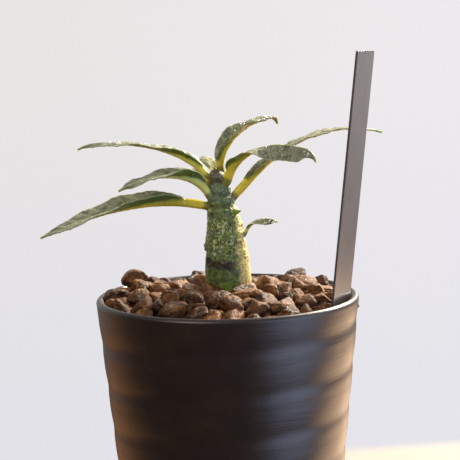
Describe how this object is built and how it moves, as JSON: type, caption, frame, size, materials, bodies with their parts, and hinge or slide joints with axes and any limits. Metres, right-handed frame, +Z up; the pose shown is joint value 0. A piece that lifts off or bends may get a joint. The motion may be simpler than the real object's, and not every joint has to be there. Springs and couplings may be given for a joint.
{
  "type": "potted dorstenia gigas",
  "caption": "Young caudex succulent with a knobbly stem and a crown of long arching leaves, in a dark round tapered pot of clay granules with a plain plant label.",
  "frame": {"origin": "centre of the pot's flat foot", "axes": "+Z up along the pot's axis, the viewer of the picture on -Y, +X to that viewer's right"},
  "size_m": [0.1201, 0.0916, 0.1756],
  "materials": {
    "pot": "near-black brown stoneware with a thin satin glaze",
    "screen": "black moulded net",
    "soil": "rough reddish-brown baked clay granules",
    "stem": "green living bark with pale flecks and round leaf scars",
    "leaf": "dark green satin leaf, blistered between pale veins, with a yellow-green midrib",
    "label": "dark brown-black satin sheet plastic, blank"
  },
  "bodies": {
    "root": {"pot": "pot", "drain_screen": "screen", "soil": "soil", "stem": "stem", "leaf_upper_left": "leaf", "leaf_back_left": "leaf", "leaf_front_left": "leaf", "leaf_long_left": "leaf", "leaf_top": "leaf", "leaf_back": "leaf", "leaf_front_right": "leaf", "leaf_long_right": "leaf", "leaf_small_right": "leaf", "plant_label": "label"}
  },
  "joints": []
}
